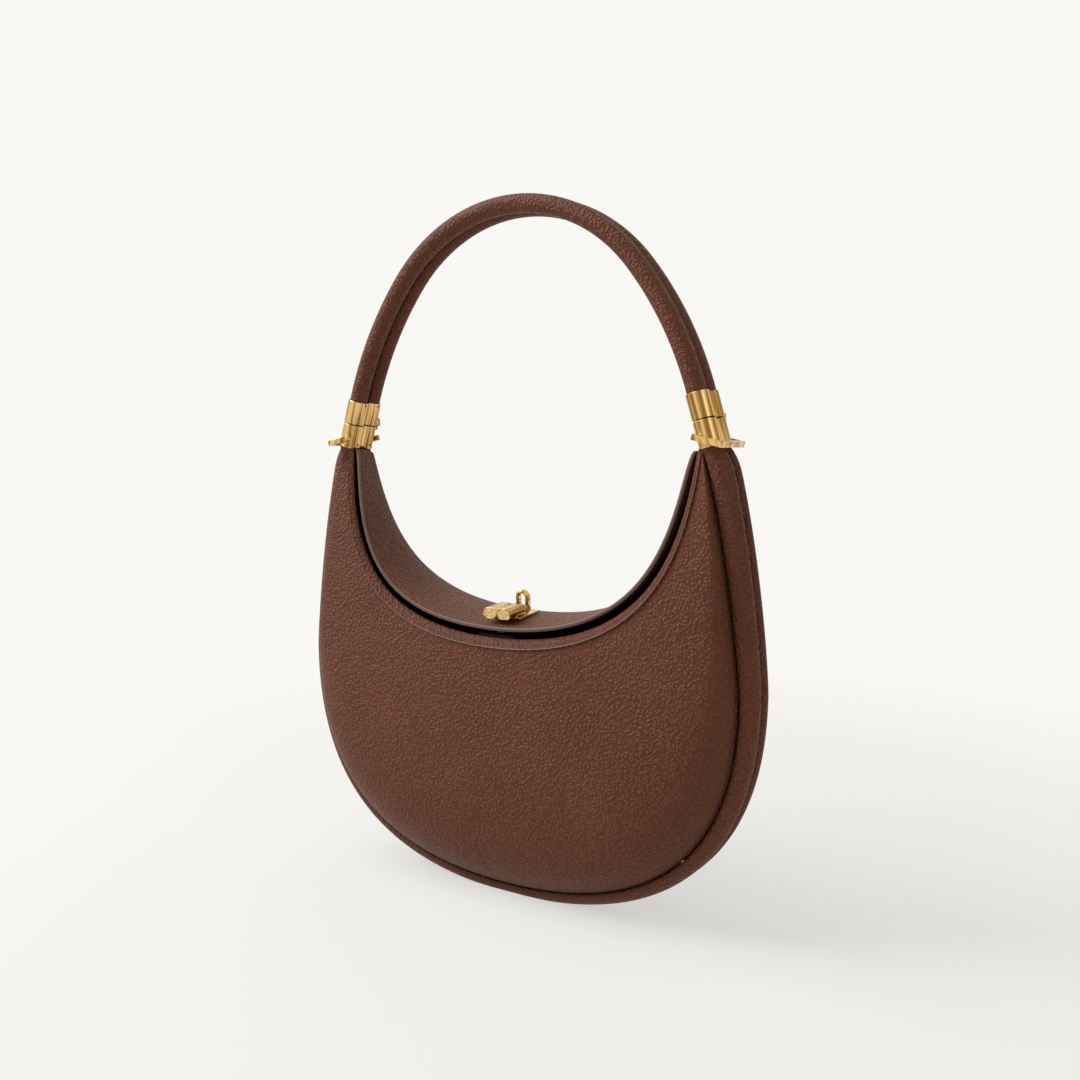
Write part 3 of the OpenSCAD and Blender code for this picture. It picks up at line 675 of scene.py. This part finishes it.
paintedRings, weltRings = [], []
for t in flapStations:
    ring = []
    for a in turns(paintedShape["sides"]):
        x, y = squared(math.cos(a)), squared(math.sin(a))
        height = paintedShape["middle"] + paintedShape["halfShare"] * y
        ring.append(flapPoint(t, (paintedShape["inset"] + paintedShape["halfWidth"] * x)
                              / flapSpan(t),
                              paintedShape["thickness"] * height - paintedShape["sink"]))
    paintedRings.append(ring)
    ring = []
    for a in turns(weltShape["sides"]):
        p = flapPoint(t, 1, weltShape["height"] + weltShape["halfHeight"] * math.sin(a))
        y = weltShape["halfDepth"] * math.cos(a) - weltShape["forward"]
        ring.append(p + Vector((0, y * mm, 0)))
    weltRings.append(ring)
flapEdge = loft("flapPaintedEdge", paintedRings)
dress(flapEdge, None, "leather", edgeMat)
crossFold(flapEdge)
dress(loft("backWelt", weltRings), "bag", "leather", leatherMat)
print("flap ready")


# stitches: one small spindle, repeated along a row
stitchShape = {"length": 2.2, "pitch": 3.1, "radius": 0.28, "sides": 6, "samples": 1600,
               "reach": 0.93, "facingRise": 0.52, "facingDepth": -0.55,
               "profile": [(-0.5, 0.25), (-0.3, 0.9), (0.0, 1.0), (0.3, 0.9), (0.5, 0.25)]}


def stitchRow(name, pointAt):
    samples, reach = stitchShape["samples"], stitchShape["reach"]
    path = [pointAt(t) for t in stations(samples, -reach, reach)]
    walked = [0.0]
    for a, b in zip(path, path[1:]):
        walked.append(walked[-1] + (b - a).length)
    count = int(walked[-1] / (stitchShape["pitch"] * mm))
    verts, faces = [], []
    k = 0
    for n in range(count):
        wanted = (n + 0.5) * walked[-1] / count
        while walked[k] < wanted:
            k += 1
        ahead = (path[min(k + 1, samples)] - path[k - 1]).normalized()
        side = ahead.cross(Vector((0, 0, 1))).normalized()
        top = side.cross(ahead)
        rings = [[path[k] + ahead * along * stitchShape["length"] * mm
                  + (side * math.cos(a) + top * math.sin(a)) * width * stitchShape["radius"] * mm
                  for a in turns(stitchShape["sides"])]
                 for along, width in stitchShape["profile"]]
        addTube(verts, faces, rings)
    return finishMesh(linkMesh(name, verts, faces))


def facingStitchPoint(t):
    return facingPoint(t, stitchShape["facingRise"], stitchShape["facingDepth"])


def flapStitchPoint(t):
    return flapPoint(t, flapShape["stitchInset"] / flapSpan(t), -flapShape["stitchSink"])


dress(stitchRow("facingStitches", facingStitchPoint), "bag", "leather", threadMat)
flapStitches = stitchRow("flapStitches", flapStitchPoint)
dress(flapStitches, None, "leather", threadMat)
crossFold(flapStitches)
print("stitches ready")

# handle: two padded tubes over their cores, with a seam between them
handleShape = {"tubeRadius": 5.3, "endLength": 29.0, "socketDepth": 8.9, "sideRadius": 197.0,
               "topHalfAngle": math.radians(50.4), "sides": 28, "socketStops": 4,
               "sideStops": 40, "topStops": 60, "seamHalfHeight": 2.2, "seamHalfWidth": 0.7}


# the handle's middle line: straight in the sockets, then a side arc and a tighter top arc
def handleStops():
    lean = bagShape["lean"]
    start = endPoint + up * handleShape["endLength"]
    sideR = handleShape["sideRadius"]
    centre = start - outward * sideR
    topStart = math.pi / 2 - handleShape["topHalfAngle"]
    topR = sideR + centre.x / math.cos(topStart)
    topZ = centre.y + (sideR - topR) * math.sin(topStart)
    straight, onSide, onTop = (handleShape[k] for k in ("socketStops", "sideStops", "topStops"))
    stops = [(start - up * handleShape["socketDepth"] * (1 - i / straight), lean)
             for i in range(straight)]
    for i in range(onSide + 1):
        a = mix(lean, topStart, i / onSide)
        stops.append((centre + sideR * Vector((math.cos(a), math.sin(a))), a))
    for i in range(1, onTop + 1):
        a = mix(topStart, math.pi / 2, i / onTop)
        stops.append((Vector((0, topZ)) + topR * Vector((math.cos(a), math.sin(a))), a))
    return stops + [(Vector((-p.x, p.y)), math.pi - a) for p, a in reversed(stops[:-1])]


def tubeRing(stop, y):
    p, angle = stop
    r = handleShape["tubeRadius"]
    d = Vector((math.cos(angle), math.sin(angle)))
    return [place(p + d * r * math.cos(a), y + r * math.sin(a))
            for a in turns(handleShape["sides"])]


handlePath = handleStops()
for name, side, tubeNode, coreNode in (
        ("frontHandleLeather", -1, "front_handle_tube", "front_handle_core"),
        ("backHandleLeather", 1, "back_handle_tube", "back_handle_core")):
    tube = loft(name, [tubeRing(stop, side * bagShape["lobeY"]) for stop in handlePath])
    dress(tube, "handle", "leather", leatherMat, tubeNode, coreNode)
seamRings = []
for p, angle in handlePath:
    d = Vector((math.cos(angle), math.sin(angle))) * handleShape["seamHalfHeight"]
    seamRings.append([place(p + d * across, y * handleShape["seamHalfWidth"])
                      for across, y in ((-1, -1), (1, -1), (1, 1), (-1, 1))])
handleSeam = loft("handleSeamStrip", seamRings, 30)
dress(handleSeam, "handle", "leather", seamShadeMat, "handle_seam")
print("handle ready")


# metal pieces: the solids with their corners eased
easeLook = {"flatWithin": math.radians(1.0), "sharpFrom": math.radians(35), "segments": 3,
            "smoothWithin": math.radians(40)}


# the painted reflection streaks of the leaning ends run along them, and those of the clasp across
# its front
def reflectionStreakFrame(node):
    across, along = goldLook["across"], goldLook["along"]
    if node.startswith("left") or node.startswith("right"):
        lean = bagShape["lean"] if node.startswith("right") else -bagShape["lean"]
        return Matrix.Diagonal((across, across, along)) @ Matrix.Rotation(lean, 3, "Y")
    return Matrix.Diagonal((across, along, across))


def addReflectionStreak(obj, node):
    turn = reflectionStreakFrame(node)
    reflectionStreak = obj.data.attributes.new("reflectionStreak", "FLOAT_VECTOR", "POINT")
    for i, v in enumerate(obj.data.vertices):
        reflectionStreak.data[i].vector = turn @ v.co


def easedCopy(node, name, width, body):
    mesh = nodes[node].data.copy()
    obj = bpy.data.objects.new(name, mesh)
    bpy.context.scene.collection.objects.link(obj)
    pickOnly(obj)
    bpy.ops.object.mode_set(mode="EDIT")
    bpy.ops.mesh.select_all(action="SELECT")
    bpy.ops.mesh.remove_doubles(threshold=1e-6)
    bpy.ops.mesh.dissolve_limited(angle_limit=easeLook["flatWithin"])
    bpy.ops.object.mode_set(mode="OBJECT")
    bm = bmesh.new()
    bm.from_mesh(mesh)
    weight = bm.edges.layers.float.new("bevel_weight_edge")
    for edge in bm.edges:
        sharp = len(edge.link_faces) == 2 and edge.calc_face_angle(0) > easeLook["sharpFrom"]
        edge[weight] = 1.0 if sharp and edge.is_convex else 0.0
    bm.to_mesh(mesh)
    bm.free()
    bevel = obj.modifiers.new("easedCorners", "BEVEL")
    bevel.width = width * mm
    bevel.segments = easeLook["segments"]
    bevel.limit_method = "WEIGHT"
    bevel.use_clamp_overlap = True
    bpy.ops.object.modifier_apply(modifier="easedCorners")
    addReflectionStreak(obj, node)
    bpy.ops.object.shade_smooth_by_angle(angle=easeLook["smoothWithin"])
    obj.select_set(False)
    dress(obj, body, "gold", goldMat, node)


# handle ends: a two-lobed outline lofted along each leaning end, with a rim at the foot
endShape = {"webHalf": 3.472, "waistRadius": 1.119, "waistStops": 10, "sides": 30,
            "bodyLength": 14.4, "gap": 0.6, "handleLength": 14.0, "rimHeight": 1.2,
            "rimOut": 0.4, "rimSoft": 0.15, "rimFoot": 0.05, "ease": 0.35,
            "easeAngles": (0, 0.4, 0.8, 1.2, math.pi / 2)}
endFull = endShape["bodyLength"] + endShape["gap"] + endShape["handleLength"]


def leanPoint(side, x, y, z):
    p = endPoint + outward * x + up * z
    return place(Vector((side * p.x, p.y)), y)


def endOutline(offset):
    r = bagShape["lobeRadius"] + offset
    waist = endShape["waistRadius"] - offset
    centre = endShape["webHalf"] + endShape["waistRadius"]
    reach = math.atan2(bagShape["lobeY"], centre)
    arc = stations(endShape["sides"], reach, -math.pi - reach)
    half = [(r * math.cos(a), -bagShape["lobeY"] + r * math.sin(a)) for a in arc]
    inner = stations(endShape["waistStops"], -reach, reach)[1:-1]
    half += [(-centre + waist * math.cos(a), waist * math.sin(a)) for a in inner]
    return half + [(-x, -y) for x, y in half]


# levels are pairs of a height along the end and an offset of its outline
def endRings(side, levels):
    return [[leanPoint(side, x, y, z) for x, y in endOutline(offset)] for z, offset in levels]


def endPiece(name, side, start, length, rim):
    soft = endShape["ease"]
    levels = [(1 - math.cos(a), math.sin(a) - 1) for a in endShape["easeAngles"]]
    low = [(start + soft * h, soft * out) for h, out in levels]
    top = [(start + length - soft * h, soft * out) for h, out in reversed(levels)]
    if rim:
        height, out, corner = (endShape[k] for k in ("rimHeight", "rimOut", "rimSoft"))
        low = [(z, out + o) for z, o in low]
        low += [(start + height - corner, out), (start + height, out - corner),
                (start + height + endShape["rimFoot"], 0)]
    return loft(name, endRings(side, low + top), 35)


# three knuckles behind each end: the body's in the middle and the handle's beside it
knuckleShape = {"radius": 1.5, "hingeY": 13.7, "reach": 3.1, "halfWidth": 1.3,
                "sideWidth": 1.5, "gap": 0.3, "outside": [(0, 2.5), (0.6, 1.9), (0.7, 0.7)],
                "arc": (-0.4, 0.0, 0.5, 1.0, 1.5, 2.0, 2.6, 3.1), "inside": (-0.9, 0.5)}


def knuckle(name, side, fromX, width, way):
    r, y = knuckleShape["radius"], knuckleShape["hingeY"]
    back = bagShape["lobeY"] + knuckleShape["reach"] - y
    at = endPoint + up * (endShape["bodyLength"] + endShape["gap"] / 2)
    outside = [(r * d, way * r * z) for d, z in knuckleShape["outside"]]
    arc = [(r * math.cos(a), -way * r * math.sin(a)) for a in knuckleShape["arc"]]
    d, z = knuckleShape["inside"]
    profile = ([(back, outside[0][1])] + outside + arc
               + [(r * d, way * r * z), (back, way * r * z)])
    rings = [[place(Vector((side * (at.x + x), at.y + z)), y + d) for d, z in profile]
             for x in (fromX, fromX + width)]
    return loft(name, rings, 35)


half, beside = knuckleShape["halfWidth"], knuckleShape["sideWidth"]
knuckleSpecs = [
    ("BodyKnuckle", -half, 2 * half, -1, "bag"),
    ("InnerKnuckle", -half - knuckleShape["gap"] - beside, beside, 1, "handle"),
    ("OuterKnuckle", half + knuckleShape["gap"], beside, 1, "handle"),
]
for side, word in ((-1, "left"), (1, "right")):
    lower = endPiece(word + "BodyEnd", side, 0, endShape["bodyLength"], True)
    upper = endPiece(word + "HandleEnd", side, endShape["bodyLength"] + endShape["gap"],
                     endShape["handleLength"], False)
    dress(lower, "bag", "gold", goldMat, word + "_body_ferrule")
    dress(upper, "handle", "gold", goldMat, word + "_handle_ferrule")
    pieces = [lower, upper]
    for name, fromX, width, way, body in knuckleSpecs:
        piece = knuckle(word + name, side, fromX, width, way)
        pieces.append(dress(piece, body, "gold", goldMat))
    for piece in pieces:
        addReflectionStreak(piece, word)


# collars of leather close the space under the metal ends
collarLevels = [(-2.9, -2.2), (-2.4, -1.3), (-1.6, -0.75), (-0.6, -0.55), (0.4, -0.7)]
for side, word in ((-1, "left"), (1, "right")):
    collar = loft(word + "Collar", endRings(side, collarLevels))
    dress(collar, "bag", "leather", leatherMat)

screwShape = {"radius": 0.75, "sides": 14, "depths": (0.3, -0.03), "fromFoot": 2.7,
              "fromTop": 1.5}


def screwDots(name, z, body, node):
    verts, faces = [], []
    r = screwShape["radius"]
    for side in (-1, 1):
        for lobe in (-1, 1):
            y = lobe * bagShape["lobeY"]
            addTube(verts, faces, [[leanPoint(side, depth - bagShape["lobeRadius"],
                                              y + r * math.cos(a), z + r * math.sin(a))
                                    for a in turns(screwShape["sides"])]
                                   for depth in screwShape["depths"]])
    dress(finishMesh(linkMesh(name, verts, faces)), body, "steel", steelMat, node)


screwDots("bodyEndScrews", screwShape["fromFoot"], "bag", "body_ferrule_screws")
screwDots("handleEndScrews", endFull - screwShape["fromTop"], "handle", "handle_ferrule_screws")

metalSpecs = [
    ("left_strap_ring", "leftRing", 0.35, "left_ring"),
    ("right_strap_ring", "rightRing", 0.35, "right_ring"),
    ("clasp_plate", "claspBase", 0.25, "flap"),
    ("clasp_arch", "claspLoop", 0.5, "flap"),
    ("latch_pin", "claspPin", 0.5, "flap"),
    ("latch", "claspLever", 0.3, "latch"),
    ("left_ring_pin", "leftRingPin", 0.2, "bag"),
    ("right_ring_pin", "rightRingPin", 0.2, "bag"),
    ("left_hinge_pin", "leftHingePin", 0.2, "bag"),
    ("right_hinge_pin", "rightHingePin", 0.2, "bag"),
]
for node, name, width, body in metalSpecs:
    easedCopy(node, name, width, body)


# the barrels' ends: a plain rim round a sunk face with a fine relief
capShape = {"width": 9.3, "height": 6.0, "thickness": 0.8, "rim": 0.5, "recess": 0.2,
            "soft": 0.2, "softMiddle": 0.06, "draft": 0.08, "slope": math.radians(5.61),
            "sides": 20}


# an oblong outline: two half circles joined by straight sides
def capOutline(offset):
    r = capShape["height"] / 2 + offset
    straight = (capShape["width"] - capShape["height"]) / 2
    return [(way * (straight + r * math.cos(a)), way * r * math.sin(a))
            for way in (1, -1) for a in stations(capShape["sides"], math.pi / 2, -math.pi / 2)]


def barrelCaps():
    points = [v.co for v in nodes["latch_end_caps"].data.vertices]
    half, rim = capShape["thickness"] / 2, capShape["rim"]
    soft, middle = capShape["soft"], capShape["softMiddle"]
    levels = [(-half, 0), (half - soft, 0), (half - middle, -middle), (half, -soft),
              (half, -rim), (half - capShape["recess"], -rim - capShape["draft"])]
    tilt = Matrix.Rotation(capShape["slope"], 3, "X")
    front = tilt @ Vector((0, -1, 0))
    for side, word in ((-1, "left"), (1, "right")):
        own = [p for p in points if p.x * side > 0]
        centre = Vector([(min(p[i] for p in own) + max(p[i] for p in own)) / 2 for i in range(3)])
        rings = [[centre + tilt @ Vector((x, -along, z)) * mm for x, z in capOutline(offset)]
                 for along, offset in levels]
        cap = loft(word + "BarrelCap", rings, 30)
        dress(cap, "latch", "cap_metal", goldMat, "latch_end_caps")
        cap.data.materials.append(reliefMat)
        for polygon in cap.data.polygons:
            if len(polygon.vertices) > 4 and polygon.normal.dot(front) > 0.9:
                polygon.material_index = 1
        addReflectionStreak(cap, "latch_end_caps")


barrelCaps()

# nodes that keep their own solids and only get a material
plainNodes = [
    (steelMat, ["clasp_backing", "tab_magnet", "flap_magnet"]),
    (goldMat, ["clasp_rivets"]),
    (paddingMat, ["left_neck_core", "right_neck_core"]),
    # painted shade: the closure tab is near black like the shaded mouth gap around it
    (seamShadeMat, ["closure_tab"]),
]
for mat, names in plainNodes:
    for name in names:
        nodes[name].data.materials.clear()
        nodes[name].data.materials.append(mat)
print("metal ready")

# floor, lights and camera
stageLook = {"pale": (0.947, 0.938, 0.905, 1), "lit": (0.75, 0.745, 0.725, 1),
             "shadowShare": 0.4, "shadowFrom": 0.25, "shadowTo": 0.75, "floorSize": 14,
             "roughness": 0.9, "specular": 0.1, "worldColor": (1, 0.98, 0.95, 1),
             "worldStrength": 0.46}


# 1 for what the camera sees itself or in a mirror or glass, and 0 for what only gives light
def seenDirectly(tree):
    path = addNode(tree, "ShaderNodeLightPath").outputs
    seen = calculate(tree, "MAXIMUM", path["Is Camera Ray"], path["Is Glossy Ray"])
    return calculate(tree, "MAXIMUM", seen, path["Is Transmission Ray"])


# the floor is pale where it is seen, with a part of its shadow near the bag
def paleFloor():
    bpy.ops.mesh.primitive_plane_add(size=stageLook["floorSize"], location=(0, 0, 0))
    floor = bpy.context.active_object
    floor.name = "paleFloor"
    mat, tree, shader = newMaterial("paleFloor")
    feed(tree, shader, {"Base Color": stageLook["lit"], "Roughness": stageLook["roughness"],
                        "Specular IOR Level": stageLook["specular"]})
    flat = addNode(tree, "ShaderNodeEmission", {"Color": stageLook["pale"]}).outputs[0]
    away = addNode(tree, "ShaderNodeVectorMath", {0: objectPoint(tree)}, operation="LENGTH")
    fade = softRamp(tree, away.outputs["Value"], stageLook["shadowFrom"], stageLook["shadowTo"],
                    1 - stageLook["shadowShare"])
    share = calculate(tree, "MULTIPLY", seenDirectly(tree), fade)
    both = addNode(tree, "ShaderNodeMixShader", {0: share, 1: shader.outputs[0], 2: flat})
    feed(tree, tree.nodes["Material Output"], {"Surface": both.outputs[0]})
    floor.data.materials.append(mat)


def paleWorld():
    world = bpy.data.worlds.new("paleWorld")
    bpy.context.scene.world = world
    world.use_nodes = True
    tree = world.node_tree
    tree.nodes.clear()
    seen = addNode(tree, "ShaderNodeBackground", {"Color": stageLook["pale"]}).outputs[0]
    lit = addNode(tree, "ShaderNodeBackground", {"Color": stageLook["worldColor"],
                                                 "Strength": stageLook["worldStrength"]})
    pick = addNode(tree, "ShaderNodeMixShader", {0: seenDirectly(tree), 1: lit.outputs[0],
                                                 2: seen})
    addNode(tree, "ShaderNodeOutputWorld", {"Surface": pick.outputs[0]})


def softbox(name, at, target, size, power):
    light = bpy.data.lights.new(name, "AREA")
    light.shape = "RECTANGLE"
    light.size, light.size_y = size
    light.energy = power
    lamp = bpy.data.objects.new(name, light)
    bpy.context.scene.collection.objects.link(lamp)
    lamp.location = at
    lamp.rotation_euler = (Vector(target) - Vector(at)).to_track_quat("-Z", "Y").to_euler()


lightRig = {
    "keyLight": ((-1.6, -1.0, 1.3), (0, 0, 0.2), (0.8, 0.8), 25),
    "topLight": ((-0.9, -0.4, 1.7), (0, 0, 0.2), (1.2, 1.2), 17),
    "sideLight": ((1.5, -0.4, 0.8), (0, 0, 0.2), (0.4, 1.0), 0.6),
}
cameraView = {"place": (0.35926, -0.52689, 0.26091), "yaw": math.radians(33.118),
              "pitch": math.radians(-5.11), "lens": 37.33, "sensor": 36, "clipEnd": 50}


def photoCamera():
    data = bpy.data.cameras.new("photoCamera")
    camera = bpy.data.objects.new("photoCamera", data)
    bpy.context.scene.collection.objects.link(camera)
    data.lens = cameraView["lens"]
    data.sensor_width = cameraView["sensor"]
    data.clip_end = cameraView["clipEnd"]
    camera.location = cameraView["place"]
    camera.rotation_euler = (math.pi / 2 + cameraView["pitch"], 0, cameraView["yaw"])
    bpy.context.scene.camera = camera


paleFloor()
paleWorld()
for name, (at, target, size, power) in lightRig.items():
    softbox(name, at, target, size, power)
photoCamera()
bpy.context.scene.view_settings.view_transform = "Standard"
print("stage ready")
